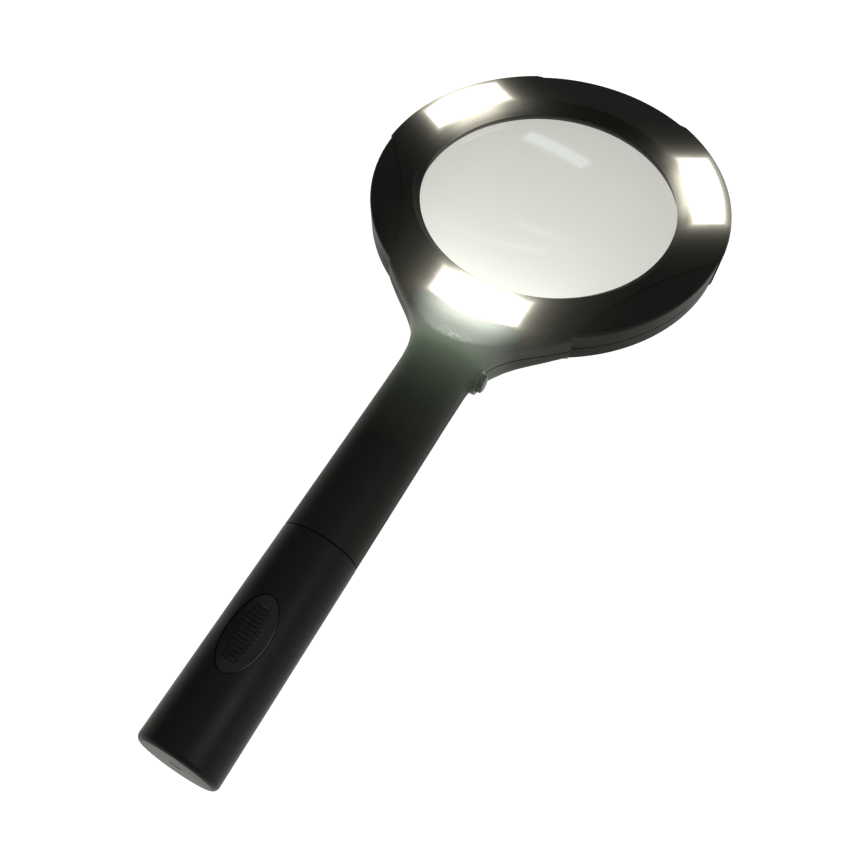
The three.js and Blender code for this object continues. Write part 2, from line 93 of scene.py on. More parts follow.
# How square the section is above and below the seam: 2 is an ellipse
SQUARE_ABOVE = [(-54, 5.0), (-62, 4.0), (-70, 2.75), (-76, 2.3), (-83, 2.0)]
SQUARE_BELOW = [(-54, 6.0), (-62, 5.0), (-70, 4.2), (-76, 2.4), (-83, 2.0)]
# The slope behind the neck lamp: a cone round the lens axis, with a rounded foot
DISH_FOOT, FOOT_ROUND, DISH_SLOPE = 68.0, 3.0, math.radians(36)
# The radius of the face's outer edge, by distance from the lens axis
EDGE_ROUNDS = [(62.5, RIM_ROUND), (64.5, 2.2), (67.5, 2.8), (71.0, 1.8), (74.5, 0.5)]

SLEEVE_MOUTH, SLEEVE_R, SLEEVE_END_R = -147.45, 11.62, 11.75
SLEEVE_RIM, SLEEVE_CORNER, SLEEVE_RAKE = -209.07, 1.6, 0.13  # rake: y gained per z at its end
SLEEVE_BORE, SLEEVE_FLOOR = 9.9, -208.2
SLOT_Y, SLOT_HALF, SLOT_R = -211.5, 1.4, 0.6  # the blind slot in the sleeve's end

LAMP_ANGLES = {"neck": 270, "left": 150, "right": 30}
LAMP_INNER, LAMP_OUTER = 49.9, 59.8  # radii of the windows' inner and outer edges
LAMP_HALF_IN, LAMP_HALF_OUT, LAMP_CORNER = 15.1, 15.65, 1.8
WINDOW_TOP = 7.0

# The push button works along X, on the right of the neck
BUTTON_Y, BUTTON_R, BUTTON_FACE = -78.0, 2.95, 15.3
COLLAR_R, COLLAR_FACE = 4.2, 13.4
SPRING_FOOT, SPRING_WIRE = 3.3, 0.25  # where the button's spring stands, and its wire's radius

GRIP_Y, GRIP_HALF = -177.6, (6.0, 10.8)
GRIP_RIBS, GRIP_PITCH = 13, 1.2

# The battery tube, and the two cells in it: each stands on the next, nub first
TUBE_R, TUBE_BORE, TUBE_FRONT, TUBE_REAR = 9.6, 7.6, -97.3, -196.0
CELL_R, CELL_LENGTH, NUB_R = 7.25, 50.5, 2.75
CELL_TIPS = {"cell_front": -100.1, "cell_rear": -150.9}

# The screws and their holes, then each screw's place and the height of its seat
HEAD_R, SHANK_R, THREAD_R, THREAD_PITCH, SCREW_TIP = 2.2, 0.85, 1.1, 0.35, 4.0
HEAD_BORE, SHANK_BORE = 2.6, 1.4
RING_SCREW_R = 54.6
SCREWS = [
    (RING_SCREW_R * math.cos(math.radians(a)), RING_SCREW_R * math.sin(math.radians(a)), -3.3)
    for a in PLAIN_ANGLES
] + [(-9.0, -70.5, -8.0), (0.0, -92.5, -9.0)]

# ---------------------------------------------------------------------- camera

# Above the handle's end, looking down and forward to the lens, 30 degrees off the vertical
camera_data = bpy.data.cameras.new("camera")
camera_data.lens = 33.655
camera_data.sensor_width = 36
camera_data.clip_start = 0.01
camera_data.shift_x = -0.0006
camera_data.shift_y = 0.0006
camera = bpy.data.objects.new("camera", camera_data)
bpy.context.scene.collection.objects.link(camera)
bpy.context.scene.camera = camera
camera.location = ORIGIN + Vector((0.06634, -0.20584, 0.20785))
camera.rotation_euler = Euler((math.radians(29.8406), math.radians(-0.3884), math.radians(28.8081)))

# ----------------------------------------------------------------- mesh helpers


def object_from(name, vertices, faces):
    """A mesh object from points in millimetres, with its faces turned outwards."""
    mesh = bpy.data.meshes.new(name)
    mesh.from_pydata([tuple(v) for v in vertices], [], [tuple(f) for f in faces])
    work = bmesh.new()
    work.from_mesh(mesh)
    bmesh.ops.remove_doubles(work, verts=work.verts, dist=1e-5)
    bmesh.ops.recalc_face_normals(work, faces=work.faces)
    work.to_mesh(mesh)
    work.free()
    obj = bpy.data.objects.new(name, mesh)
    bpy.context.scene.collection.objects.link(obj)
    return obj


def lathe(name, profile, axis="Z", steps=192):
    """A closed solid of revolution. profile is a closed loop of (radius, height)."""
    vertices, rings = [], []
    for radius, height in profile:
        count = 1 if radius < 1e-6 else steps
        rings.append((len(vertices), count))
        for k in range(count):
            angle = 2 * math.pi * k / steps
            a, b = radius * math.cos(angle), radius * math.sin(angle)
            vertices.append({"Z": (a, b, height), "Y": (a, height, b), "X": (height, a, b)}[axis])
    faces = []
    for i, (first, first_count) in enumerate(rings):
        second, second_count = rings[(i + 1) % len(rings)]
        if first_count == 1 and second_count == 1:
            continue
        for k in range(steps):
            nxt = (k + 1) % steps
            corners = [
                first + (k if first_count > 1 else 0),
                first + (nxt if first_count > 1 else 0),
                second + (nxt if second_count > 1 else 0),
                second + (k if second_count > 1 else 0),
            ]
            faces.append(list(dict.fromkeys(corners)))
    return object_from(name, vertices, faces)


def prism(name, layers):
    """A solid through flat outlines of as many points: layers are (outline, height)."""
    count = len(layers[0][0])
    vertices, faces = [], []
    for shape, height in layers:
        vertices += [(x, y, height) for x, y in shape]
    for level in range(len(layers) - 1):
        for k in range(count):
            a, b = level * count + k, level * count + (k + 1) % count
            faces.append((a, b, b + count, a + count))
    faces.append(tuple(reversed(range(count))))
    faces.append(tuple(range((len(layers) - 1) * count, len(layers) * count)))
    return object_from(name, vertices, faces)


def plain_prism(name, outline, low, high):
    """A flat outline drawn out between two heights."""
    return prism(name, [(outline, low), (outline, high)])


def slab_box(name, x, y, z):
    """A box from (low, high) on each axis."""
    outline = [(x[0], y[0]), (x[1], y[0]), (x[1], y[1]), (x[0], y[1])]
    return plain_prism(name, outline, z[0], z[1])


def turned(obj, degrees):
    obj.data.transform(Matrix.Rotation(math.radians(degrees), 4, "Z"))
    return obj


def moved(obj, x=0.0, y=0.0, z=0.0):
    obj.data.transform(Matrix.Translation((x, y, z)))
    return obj


def carve(obj, tool, operation="DIFFERENCE"):
    """Applies one boolean to obj and removes the tool."""
    modifier = obj.modifiers.new("carve", "BOOLEAN")
    modifier.operation = operation
    modifier.solver = "MANIFOLD"
    modifier.object = tool
    depsgraph = bpy.context.evaluated_depsgraph_get()
    result = bpy.data.meshes.new_from_object(obj.evaluated_get(depsgraph))
    obj.modifiers.clear()
    old = obj.data
    obj.data = result
    bpy.data.meshes.remove(old)
    bpy.data.objects.remove(tool)


def copy_of(obj):
    twin = obj.copy()
    twin.data = obj.data.copy()
    bpy.context.scene.collection.objects.link(twin)
    return twin


def shade(obj, angle=32.0, weighted=True):
    """Smooth shading that keeps hard edges, with flat areas kept flat."""
    work = bmesh.new()
    work.from_mesh(obj.data)
    bmesh.ops.remove_doubles(work, verts=work.verts, dist=1e-6)
    limit = math.radians(angle)
    for face in work.faces:
        face.smooth = True
    for edge in work.edges:
        edge.smooth = len(edge.link_faces) == 2 and edge.calc_face_angle(0.0) < limit
    work.to_mesh(obj.data)
    work.free()
    if weighted:
        modifier = obj.modifiers.new("normals", "WEIGHTED_NORMAL")
        modifier.mode = "FACE_AREA_WITH_ANGLE"
        modifier.weight = 90
        modifier.keep_sharp = True
        depsgraph = bpy.context.evaluated_depsgraph_get()
        result = bpy.data.meshes.new_from_object(obj.evaluated_get(depsgraph))
        obj.modifiers.clear()
        obj.data = result
    return obj


def placed(obj, body, slot, material, *nodes):
    """Moves a piece from millimetres into the frame, gives it its material and its body, and hides
    the parts that it stands for.
    """
    obj.data.transform(TO_FRAME)
    obj.data.materials.clear()
    obj.data.materials.append(material)
    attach(obj, body)
    if nodes:
        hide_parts(*nodes)


def arc(centre, radius, start, stop, steps):
    """Points along an arc, in degrees."""
    angles = np.radians(np.linspace(start, stop, steps + 1))
    return [(centre[0] + radius * math.cos(a), centre[1] + radius * math.sin(a)) for a in angles]


# ----------------------------------------------------------- the shells' outside


def smooth_table(points, blur):
    """A table along Y through the points, rounded off over blur millimetres."""
    points = np.array(points, float)[::-1]
    ys = np.linspace(-165, -46, 2381)
    values = np.interp(ys, points[:, 0], points[:, 1])
    window = 2 * round(blur / (ys[1] - ys[0]) / 2) + 1
    kernel = np.hanning(window + 2)[1:-1]
    padded = np.pad(values, window // 2, mode="reflect", reflect_type="odd")
    values = np.convolve(padded, kernel / kernel.sum(), mode="valid")
    return ys, values, np.gradient(values, ys)


WIDTHS = smooth_table(NECK_WIDTHS, 3.0)
BACKS = smooth_table(NECK_BACKS, 5.0)
ABOVE = smooth_table(SQUARE_ABOVE, 5.0)
BELOW = smooth_table(SQUARE_BELOW, 5.0)


def soft_max(a, b, k):
    """The larger of two, blended where they are within k of each other."""
    h = np.clip(0.5 + 0.5 * (a - b) / k, 0, 1)
    return b + (a - b) * h + k * h * (1 - h)


def soft_min(a, b, k):
    return -soft_max(-a, -b, k)


def round_max(a, b, radius):
    """The corner between two surfaces, rounded to a radius."""
    corner = np.hypot(np.maximum(a + radius, 0), np.maximum(b + radius, 0)) - radius
    return np.where((a > -radius) & (b > -radius), corner, np.maximum(a, b))


def neck_field(x, y, z):
    """Signed distance, roughly, from the neck and handle."""
    width, widening = np.interp(y, *WIDTHS[:2]), np.interp(y, WIDTHS[0], WIDTHS[2])
    above = z > 0
    height = np.where(above, NECK_TOP, np.interp(y, *BACKS[:2]))
    deepening = np.where(above, 0, np.interp(y, BACKS[0], BACKS[2]))
    power = np.where(above, np.interp(y, *ABOVE[:2]), np.interp(y, *BELOW[:2]))
    a, b = np.abs(x) / width, np.abs(z) / height
    total = np.maximum(a**power + b**power, 1e-12)
    level = total ** (1 / power)
    steep = level ** (1 - power)
    gx, gz = steep * a ** (power - 1) / width, steep * b ** (power - 1) / height
    gy = steep * (a**power * widening / width + b**power * deepening / height)
    return (level - 1) / np.maximum(np.sqrt(gx * gx + gy * gy + gz * gz), 0.02)


def face_field(r, z):
    """Signed distance, roughly, from the lit face and the slope behind the neck lamp."""
    run = r - DISH_FOOT
    foot = np.clip(run + FOOT_ROUND, 0, None) ** 2 / (4 * FOOT_ROUND)
    rise = np.where(run > FOOT_ROUND, run, foot)
    front = (z - FACE_Z - math.tan(DISH_SLOPE) * rise) * math.cos(DISH_SLOPE)
    return np.where(run > -FOOT_ROUND, front, z - FACE_Z)


def outside(p):
    """Signed distance, roughly, from the two shells' outer surface together."""
    x, y, z = p[..., 0], p[..., 1], p[..., 2]
    r = np.hypot(x, y)
    ring = round_max(r - RING_R, BACK_Z - z, RIM_ROUND)
    neck = neck_field(x, y, z)
    neck = np.maximum(neck, np.maximum(y - NECK_FROM, NECK_TO - y))
    both = soft_min(ring, neck, 0.5)
    edge = np.interp(r, *zip(*EDGE_ROUNDS))
    return round_max(both, face_field(r, z), edge)


def net(field, low, high, step):
    """A mesh of field == 0 as a surface net, with its points pulled onto the surface."""
    axes = [np.arange(a, b + step, step) for a, b in zip(low, high)]
    grid = np.stack(np.meshgrid(*axes, indexing="ij"), -1)
    value = field(grid)
    shape = np.array(value.shape) - 1
    corners = [(i, j, k) for i in (0, 1) for j in (0, 1) for k in (0, 1)]
    cut = lambda c: tuple(slice(c[d], c[d] + shape[d]) for d in range(3))
    inside = sum((value[cut(c)] < 0).astype(np.int8) for c in corners)
    cells = np.argwhere((inside > 0) & (inside < 8))
    number = np.full(tuple(shape), -1, np.int64)
    number[tuple(cells.T)] = np.arange(len(cells))
    total = np.zeros((len(cells), 3))
    count = np.zeros(len(cells))
    at = lambda c: value[tuple((cells + np.array(c)).T)]
    for a in corners:
        for d in range(3):
            if a[d] == 0:
                b = list(a)
                b[d] = 1
                va, vb = at(a), at(b)
                crossing = (va < 0) != (vb < 0)
                t = np.where(crossing, va / np.where(crossing, va - vb, 1), 0)
                point = np.repeat(np.array([a], float), len(cells), 0)
                point[:, d] += t
                total += np.where(crossing[:, None], point, 0)
                count += crossing
    points = np.array(low) + step * (cells + total / count[:, None])
    faces = []
    for d in range(3):
        e, f = (d + 1) % 3, (d + 2) % 3
        first = [slice(1, -1)] * 3
        first[d] = slice(0, shape[d])
        second = list(first)
        second[d] = slice(1, shape[d] + 1)
        now, nxt = value[tuple(first)] < 0, value[tuple(second)] < 0
        for flip in (False, True):
            where = np.argwhere((now & ~nxt) if not flip else (~now & nxt))
            where[:, e] += 1
            where[:, f] += 1
            quad = []
            for du, dv in ((0, 0), (-1, 0), (-1, -1), (0, -1)):
                cell = where.copy()
                cell[:, e] += du
                cell[:, f] += dv
                quad.append(number[tuple(cell.T)])
            quad = np.stack(quad, 1)
            faces.append(quad[:, ::-1] if flip else quad)
    small = 0.01
    for _ in range(4):
        here = field(points)
        slope = np.stack(
            [
                (field(points + small * np.eye(3)[d]) - field(points - small * np.eye(3)[d]))
                / (2 * small)
                for d in range(3)
            ],
            -1,
        )
        shift = here[:, None] * slope / np.maximum((slope**2).sum(-1, keepdims=True), 0.05)
        points = points - np.clip(shift, -0.4 * step, 0.4 * step)
    return points, np.concatenate(faces)


# --------------------------------------------------------------- cutting outlines


def lamp_outline(grow, steps=24):
    """A lamp's outline: an arc band with nearly parallel ends and rounded corners."""
    inner, outer = LAMP_INNER - grow, LAMP_OUTER + grow
    corner = max(LAMP_CORNER + grow / 2, 0.2)
    near, far = math.asin((LAMP_HALF_IN + grow) / inner), math.asin((LAMP_HALF_OUT + grow) / outer)
    near_cut = math.asin((LAMP_HALF_IN + grow - corner) / inner)
    far_cut = math.asin((LAMP_HALF_OUT + grow - corner) / outer)
    near_end = (inner * math.cos(near), inner * math.sin(near))
    far_end = (outer * math.cos(far), outer * math.sin(far))
    share = corner / (far_end[0] - near_end[0])
    along = lambda t: (
        near_end[0] + (far_end[0] - near_end[0]) * t,
        near_end[1] + (far_end[1] - near_end[1]) * t,
    )

    def bend(a, b, c):
        points = []
        for i in range(1, 8):
            t = i / 8
            points.append(
                tuple((1 - t) ** 2 * a[d] + 2 * t * (1 - t) * b[d] + t * t * c[d] for d in (0, 1))
            )
        return points

    half = arc((0, 0), inner, 0, math.degrees(near_cut), steps // 2)
    half += bend(half[-1], near_end, along(share)) + [along(share), along(1 - share)]
    top = arc((0, 0), outer, math.degrees(far_cut), 0, steps // 2)
    half += bend(along(1 - share), far_end, top[0]) + top
    return half + [(x, -y) for x, y in reversed(half[1:-1])]


def crescent_outline():
    """The lower crescent of a plain section, from a shallow arc out past the rim."""
    middle = CRESCENT_INNER + CRESCENT_R
    half = math.degrees(math.asin(CRESCENT_HALF / CRESCENT_R))
    points = arc((middle, 0), CRESCENT_R, 180 - half, 180 + half, 48)
    return points + [(PLAIN_R + 4, -CRESCENT_HALF), (PLAIN_R + 4, CRESCENT_HALF)]


def sector_outline(inner, outer, half_angle):
    """A sector of a ring, centred on +X."""
    return arc((0, 0), inner, -half_angle, half_angle, 48) + arc(
        (0, 0), outer, half_angle, -half_angle, 48
    )


def rounded_disc(radius, low, high, corner):
    """The profile of a disc with rounded edges."""
    return (
        [(0, low)]
        + arc((radius - corner, low + corner), corner, -90, 0, 6)
        + arc((radius - corner, high - corner), corner, 0, 90, 6)
        + [(0, high)]
    )


# ----------------------------------------------------------------------- shells

# Both shells as one closed skin, from a grid a little larger than they are
points, quads = net(outside, (-64.3, -152.3, -12.7), (64.3, 64.3, 12.7), 0.55)
body = object_from("body", points, quads)

# The plain sections: a slightly smaller radius and a slightly lower crescent.
for angle in PLAIN_ANGLES:
    rim = plain_prism("rim", sector_outline(52, 70, PLAIN_HALF_ANGLE), -9, 10)
    carve(rim, lathe("kept", rounded_disc(PLAIN_R, BACK_Z, FACE_Z, RIM_ROUND)))
    carve(body, turned(rim, angle))
    low = plain_prism("low", crescent_outline(), FACE_Z - 1.6, FACE_Z + 3)
    carve(low, lathe("kept", rounded_disc(PLAIN_R, BACK_Z, FACE_Z - PLAIN_STEP, RIM_ROUND)))
    carve(body, turned(low, angle))

# The end of the shells' handle, with a small chamfer.
carve(
    body,
    lathe(
        "end",
        [(0, -170), (30, -170), (30, HANDLE_END + 0.4), (11.85, HANDLE_END + 0.4)]
        + [(11.35, HANDLE_END), (0, HANDLE_END)],
        "Y",
    ),
)

# Inside: the ring's channel and the handle's bore.
hollow = lathe(
    "hollow",
    [(CHANNEL_IN, CHANNEL_FLOOR), (CHANNEL_OUT, CHANNEL_FLOOR)]
    + [(CHANNEL_OUT, CHANNEL_ROOF), (CHANNEL_IN, CHANNEL_ROOF)],
)
bore = lathe("bore", [(0, -160), (BORE_R, -160), (BORE_R, -84), (8.0, -80), (0, -80)], "Y", 96)
carve(hollow, bore, "UNION")
neck_room = slab_box("neck_room", (-9, 8), (-82, -57), (CHANNEL_FLOOR, CHANNEL_ROOF))
carve(hollow, neck_room, "UNION")
carve(body, hollow)

# The push button's hole.
hole_r = COLLAR_R + 0.12
hole = lathe("hole", [(0, 8), (hole_r, 8), (hole_r, 20), (0, 20)], "X", 96)
carve(body, moved(hole, y=BUTTON_Y))

front = copy_of(body)
front.name = "front_shell_skin"
carve(front, slab_box("upper", (-80, 80), (-170, 80), (SEAM, 20)), "INTERSECT")
view = [(0, -1), (LENS_R + 0.3, -1), (LENS_R + 0.3, LIP_UNDER), (VIEW_R, LIP_UNDER)]
view += arc((VIEW_R + 0.1, LIP_TOP - 0.3), 0.3, 180, 100, 4)
view += arc((DISH_R + 0.1, FACE_Z - 0.5), 0.5, 140, 90, 4)
view += [(DISH_R + 0.1, FACE_Z + 3), (0, FACE_Z + 3)]
carve(front, lathe("view", view, steps=256))
for angle in LAMP_ANGLES.values():
    layers = [(0.15, 3.0), (0.15, FACE_Z - 0.25), (0.4, FACE_Z), (0.4, FACE_Z + 3)]
    aperture = prism("aperture", [(lamp_outline(grow), z) for grow, z in layers])
    carve(front, turned(aperture, angle))

rear = body
rear.name = "rear_shell_skin"
carve(rear, slab_box("lower", (-80, 80), (-170, 80), (-20, -SEAM)), "INTERSECT")
view = [(0, 1), (LENS_R + 0.6, 1), (LENS_R + 0.6, -2.3), (VIEW_R + 0.6, -2.3)]
view += arc((VIEW_R + 0.9, -2.6), 0.3, 180, 240, 4) + arc((47.8, -4.5), 0.5, 225, 270, 4)
view += [(47.8, -9), (0, -9)]
carve(rear, lathe("view", view, steps=256))
for x, y, seat in SCREWS:
    mouth = [(HEAD_BORE + 0.3, BACK_Z - 0.05), (HEAD_BORE, BACK_Z + 0.3)]
    if y < -80:  # on the handle, whose back is rounder and lower than the ring's
        mouth = [(HEAD_BORE, -13.0)]
    hole = [(0, -14), (HEAD_BORE + 0.3, -14), *mouth, (HEAD_BORE, seat)]
    hole += [(SHANK_BORE, seat), (SHANK_BORE, 1), (0, 1)]
    carve(rear, moved(lathe("hole", hole, steps=48), x, y))

# ---------------------------------------------------------------------- painted lamp glow

# The lamps' painted glare on what is near them: (distance from a window in mm, radiance)
GLARE = [(0, 0.85), (0.3, 0.75), (0.8, 0.5), (1.5, 0.34), (2.5, 0.23), (4, 0.14), (6, 0.085)]
GLARE += [(8, 0.055), (11, 0.03), (14, 0.018), (20, 0.006), (28, 0)]
# The neck lamp's painted light on the slope that faces it and on the handle behind
NECK_GLARE = [(0, 1.2), (3.2, 0.9), (5.2, 0.66), (7.2, 0.5), (10, 0.39), (13, 0.32), (16, 0.25)]
NECK_GLARE += [(19, 0.15), (22, 0.1), (26, 0.062), (30, 0.04), (35, 0.022), (40, 0.012), (55, 0)]
WINDOW_SPREAD, SLOPE_SPREAD = 11, 15  # their reach to each side of a lamp's middle
SPARKLE_PATCH = (0.5, -72.6, 6.0, 2.8)  # where painted sparkles of lamp light lie on the grain: x, y and reach each way
# Colours of the painted lamp light
WARM, PALE, GREENISH = np.array(((1.0, 0.95, 0.78), (0.92, 1.0, 0.86), (0.78, 1.0, 0.68)))


def paint_lamp_glow(obj, veil=False):
    """Paints the light that the lamps spill on each vertex into a colour that the material emits.
    veil paints the haze that the neck lamp lays over the lens instead."""
    count = len(obj.data.vertices)
    place = np.zeros(count * 3)
    obj.data.vertices.foreach_get("co", place)
    place = place.reshape(-1, 3)
    r = np.hypot(place[:, 0], place[:, 1])
    slope = np.clip(1 + face_field(r, place[:, 2]) / 0.5, 0, 1)
    total = np.zeros((count, 3))
    middle, half = (LAMP_INNER + LAMP_OUTER) / 2, (LAMP_OUTER - LAMP_INNER) / 2
    for name, degrees in LAMP_ANGLES.items():
        turn = math.radians(degrees)
        along = place[:, 0] * math.cos(turn) + place[:, 1] * math.sin(turn)
        across = place[:, 1] * math.cos(turn) - place[:, 0] * math.sin(turn)
        radial = np.where(along > 0, np.abs(r - middle) - half, 99)
        beyond = np.maximum(np.abs(across) - LAMP_HALF_OUT, 0)
        drop = place[:, 2] - FACE_Z
        distance = np.sqrt(np.maximum(radial, 0) ** 2 + beyond**2 + drop**2)
        if veil:
            away = np.hypot(beyond, along - LAMP_INNER)
            haze = 0.2 * np.exp(-away / 8) + 0.25 * np.exp(-away / 30)
            total += (haze * (name == "neck"))[:, None] * PALE
            continue
        # The painted glare is strongest on the lens side of a lamp, and least outside the right one
        outside_right = (r > middle) & (name == "right")
        reach = np.where(outside_right, 0.0, np.where(r < middle, 6.0, 2.0))
        spread = np.exp(-((np.abs(across) / WINDOW_SPREAD) ** 3))
        near = np.interp(distance, *zip(*GLARE)) * (1 + reach * spread)
        if name == "neck":
            run = np.hypot(np.maximum(r - LAMP_OUTER, 0), np.minimum(drop, 0))
            lobe = np.interp(run, *zip(*NECK_GLARE))
            lobe *= np.exp(-((np.abs(across) / SLOPE_SPREAD) ** 3))
            lobe *= np.clip((r - middle) / half, 0, 1) * (along > 0) * (0.8 + 0.2 * slope)
            green = np.clip((run[:, None] - 11) / 8, 0, 1)
            lobe = lobe[:, None] * (PALE + green * (GREENISH - PALE))
            total += np.maximum(near[:, None] * WARM, lobe)
        else:
            total += (near * np.exp(-distance / 14))[:, None] * WARM
    # The painted glow is left off the edges inside the seam
    if not veil:  # the edges inside the seam stay dark
        total[np.abs(place[:, 2]) < SEAM + 0.01] = 0
    # Painted sparkles of lamp light on the slope's grain, kept in the alpha
    sparkle_mask = np.hypot((place[:, 0] - SPARKLE_PATCH[0]) / SPARKLE_PATCH[2], (place[:, 1] - SPARKLE_PATCH[1]) / SPARKLE_PATCH[3])
    sparkle_mask = slope * np.exp(-(sparkle_mask**2))
    colours = np.concatenate([total, sparkle_mask[:, None]], 1)
    layer = obj.data.color_attributes.new("glow", "FLOAT_COLOR", "POINT")
    layer.data.foreach_set("color", colours.ravel())


shade(front)
shade(rear)
paint_lamp_glow(front)
paint_lamp_glow(rear)

# --------------------------------------------------------------- the other pieces


def rounded(profile, steps=4):
    """A closed profile with corners rounded: each point is (a, b) or (a, b, radius)."""
    points = []
    for i, corner in enumerate(profile):
        if len(corner) == 2:
            points.append(tuple(corner))
            continue
        here = np.array(corner[:2])
        back = np.array(profile[i - 1][:2]) - here
        ahead = np.array(profile[(i + 1) % len(profile)][:2]) - here
        back, ahead = back / np.linalg.norm(back), ahead / np.linalg.norm(ahead)
        half = math.acos(float(np.clip(back @ ahead, -1, 1))) / 2
        middle = back + ahead
        centre = here + middle / np.linalg.norm(middle) * corner[2] / math.sin(half)
        start = here + back * corner[2] / math.tan(half) - centre
        stop = here + ahead * corner[2] / math.tan(half) - centre
        first = math.atan2(start[1], start[0])
        turn = (math.atan2(stop[1], stop[0]) - first + math.pi) % (2 * math.pi) - math.pi
        for k in range(steps + 1):
            angle = first + turn * k / steps
            points.append(
                (centre[0] + corner[2] * math.cos(angle), centre[1] + corner[2] * math.sin(angle))
            )
    return points


def sweep(name, route, radius, sides=10):
    """A round wire along a route of points, with closed ends."""
    route = [Vector(p) for p in route]
    count = len(route)
    vertices, faces = [], []
    across = None
    for i, point in enumerate(route):
        tangent = (route[min(i + 1, count - 1)] - route[max(i - 1, 0)]).normalized()
        if across is None:
            across = tangent.orthogonal()
        across = (across - tangent * across.dot(tangent)).normalized()
        up = tangent.cross(across)
        for k in range(sides):
            angle = 2 * math.pi * k / sides
            vertices.append(point + radius * (math.cos(angle) * across + math.sin(angle) * up))
    for i in range(count - 1):
        for k in range(sides):
            a, b = i * sides + k, i * sides + (k + 1) % sides
            faces.append((a, b, b + sides, a + sides))
    faces.append(tuple(range(sides)))
    faces.append(tuple(range((count - 1) * sides, count * sides)))
    return object_from(name, vertices, faces)


def bevelled_box(name, x, y, z, bevel=0.15):
    """A box with rounded edges between two corners."""
    obj = slab_box(name, x, y, z)
    work = bmesh.new()
    work.from_mesh(obj.data)
    bmesh.ops.bevel(
        work, geom=list(work.edges), offset=bevel, segments=2, profile=0.5, affect="EDGES"
    )
    work.to_mesh(obj.data)
    work.free()
    return shade(obj)


def oval(half_x, half_y, steps=96):
    """An ellipse round the thumb grip's middle."""
    angles = [2 * math.pi * k / steps for k in range(steps)]
    return [(half_x * math.cos(a), GRIP_Y + half_y * math.sin(a)) for a in angles]


def bulge(r):
    """How far each lens face stands out at radius r, beyond its edge."""
    return (LENS_R * LENS_R - r * r) / (2 * LENS_CURVE)


lens_steps = [LENS_R * k / 24 for k in range(25)]
under = LENS_MID_HEIGHT - LENS_EDGE / 2
over = LENS_MID_HEIGHT + LENS_EDGE / 2
lens = lathe(
    "lens_glass",
    [(r, under - bulge(r)) for r in lens_steps]
    + [(r, over + bulge(r)) for r in reversed(lens_steps)],
)
shade(lens)
paint_lamp_glow(lens, veil=True)
inner, outer = RETAINER_R
low, high = RETAINER_Z
corners = [(inner, low), (outer, low), (outer, high), (inner, high)]
retainer = lathe("lens_retaining_ring", rounded([(*corner, 0.15) for corner in corners]))
shade(retainer)

windows = {}
for side, angle in LAMP_ANGLES.items():
    layers = [(0.45, 3.7), (0.45, 4.7), (0.0, 4.75), (0.0, WINDOW_TOP - 0.25)]
    layers += [(-0.1, WINDOW_TOP - 0.08), (-0.3, WINDOW_TOP)]
    pane = prism(f"lamp_window_{side}", [(lamp_outline(grow), z) for grow, z in layers])
    windows[side] = turned(shade(pane), angle)

# Push button and its collar
collar_bore = BUTTON_R + 0.25
collar_loop = [(collar_bore, 8.9), (COLLAR_R, 8.9), (COLLAR_R, COLLAR_FACE, 0.3)]
collar_loop += [(collar_bore, COLLAR_FACE, 0.15)]
collar = lathe("button_ring", rounded(collar_loop), "X", 96)
paint_lamp_glow(moved(shade(collar), y=BUTTON_Y))
button = lathe(
    "button_cap",
    rounded(
        [(0, 1.5), (1.1, 1.5), (1.1, 7.6), (3.7, 7.6, 0.1), (3.7, 8.6, 0.1), (BUTTON_R, 8.6)]
        + [(BUTTON_R, BUTTON_FACE - 0.2, 0.9), (0.9, BUTTON_FACE - 0.02), (0, BUTTON_FACE)],
        8,
    ),
    "X",
    96,
)
paint_lamp_glow(moved(shade(button), y=BUTTON_Y))

# Battery sleeve: a tube with a rounded end, whose flat face leans back at the top
sleeve_profile = [(SLEEVE_BORE, SLEEVE_MOUTH)]
sleeve_profile += arc((SLEEVE_R - 0.2, SLEEVE_MOUTH - 0.2), 0.2, 90, 0, 4)
sleeve_profile += arc((SLEEVE_END_R - SLEEVE_CORNER, SLEEVE_RIM), SLEEVE_CORNER, 0, -86, 12)
sleeve_profile += [(0, SLEEVE_RIM - SLEEVE_CORNER - 0.05)]
sleeve_profile += [(0, SLEEVE_FLOOR), (SLEEVE_BORE, SLEEVE_FLOOR)]
sleeve = lathe("sleeve_shell", sleeve_profile, "Y")
for vertex in sleeve.data.vertices:
    if vertex.co.y < SLEEVE_RIM + 0.01:
        vertex.co.y += SLEEVE_RAKE * vertex.co.z
gap = 0.07  # round the thumb grip
recess = plain_prism("recess", oval(GRIP_HALF[0] + gap, GRIP_HALF[1] + gap), 5, 16)
core_r = 11.1  # how deep the grip's recess goes
carve(recess, lathe("core", [(0, -155), (core_r, -155), (core_r, -200), (0, -200)], "Y", 96))
carve(sleeve, recess)
slot_outline = arc((SLOT_HALF, 0), SLOT_R, -90, 90, 12)
slot_outline += arc((-SLOT_HALF, 0), SLOT_R, 90, 270, 12)
slot = plain_prism("slot", slot_outline, -5, 5)
slot.data.transform(Matrix.Rotation(math.radians(90), 4, "X"))
carve(sleeve, moved(slot, y=SLOT_Y))
shade(sleeve)


